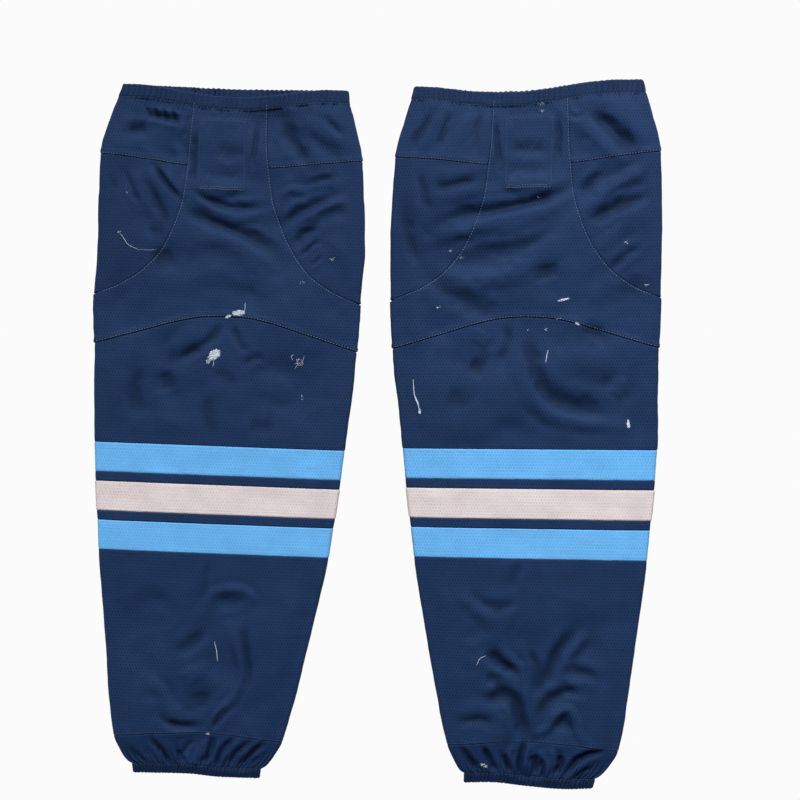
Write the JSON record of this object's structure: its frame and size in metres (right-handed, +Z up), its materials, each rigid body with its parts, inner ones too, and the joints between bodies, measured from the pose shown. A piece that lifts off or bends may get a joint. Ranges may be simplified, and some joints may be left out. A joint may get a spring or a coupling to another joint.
{
  "type": "pair of ice hockey socks",
  "caption": "Pair of footless knit leg sleeves laid flat, with an elastic hem at each end, sewn panels and crosswise stripes at the calf.",
  "frame": {"origin": "on the surface that the pair lies on, under the middle of the pair's box", "axes": "+X across the pair, from the left sock to the right; +Y along the legs towards the thigh openings; +Z up, out of the fronts of the laid socks"},
  "size_m": [0.6176, 0.7672, 0.0135],
  "materials": {
    "navy_knit": "matt knitted polyester mesh, navy",
    "light_blue_knit": "matt knitted polyester mesh, light blue",
    "cream_knit": "matt knitted polyester mesh, pale cream",
    "elastic": "woven rubber and polyester elastic",
    "loop_tape": "brushed loop tape, navy",
    "thread": "polyester sewing thread, grey-blue"
  },
  "bodies": {
    "left_upper": {"left_front_centre_panel": "navy_knit", "left_back_centre_panel": "navy_knit", "left_outer_side_panel": "navy_knit", "left_inner_side_panel": "navy_knit", "left_outer_gusset": "navy_knit", "left_inner_gusset": "navy_knit", "left_waist_elastic": "elastic", "left_front_loop_patch": "loop_tape", "left_back_loop_patch": "loop_tape", "left_patch_stitching": "thread", "left_seam_stitching": "thread", "left_knee_panel": "navy_knit"},
    "left_lower": {"left_upper_blue_stripe": "light_blue_knit", "left_upper_spacer": "navy_knit", "left_cream_stripe": "cream_knit", "left_lower_spacer": "navy_knit", "left_lower_blue_stripe": "light_blue_knit", "left_calf_panel": "navy_knit", "left_ankle_cuff": "navy_knit", "left_ankle_elastic": "elastic"},
    "right_upper": {"right_front_centre_panel": "navy_knit", "right_back_centre_panel": "navy_knit", "right_outer_side_panel": "navy_knit", "right_inner_side_panel": "navy_knit", "right_outer_gusset": "navy_knit", "right_inner_gusset": "navy_knit", "right_waist_elastic": "elastic", "right_front_loop_patch": "loop_tape", "right_back_loop_patch": "loop_tape", "right_patch_stitching": "thread", "right_seam_stitching": "thread", "right_knee_panel": "navy_knit"},
    "right_lower": {"right_upper_blue_stripe": "light_blue_knit", "right_upper_spacer": "navy_knit", "right_cream_stripe": "cream_knit", "right_lower_spacer": "navy_knit", "right_lower_blue_stripe": "light_blue_knit", "right_calf_panel": "navy_knit", "right_ankle_cuff": "navy_knit", "right_ankle_elastic": "elastic"}
  },
  "joints": [
    {"name": "left_fold", "type": "hinge", "parent": "left_upper", "child": "left_lower", "pos_m": [-0.17236, -0.01285, 0.0132], "axis": [-0.9993, 0.0373, 0], "range_deg": [0, 178]},
    {"name": "right_sock_slide", "type": "slide", "parent": "left_upper", "child": "right_upper", "axis": [1, 0, 0], "range_m": [0, 0.3]},
    {"name": "right_fold", "type": "hinge", "parent": "right_upper", "child": "right_lower", "pos_m": [0.16414, -0.0162, 0.0132], "axis": [-1, 0.0076, 0], "range_deg": [0, 178]}
  ]
}
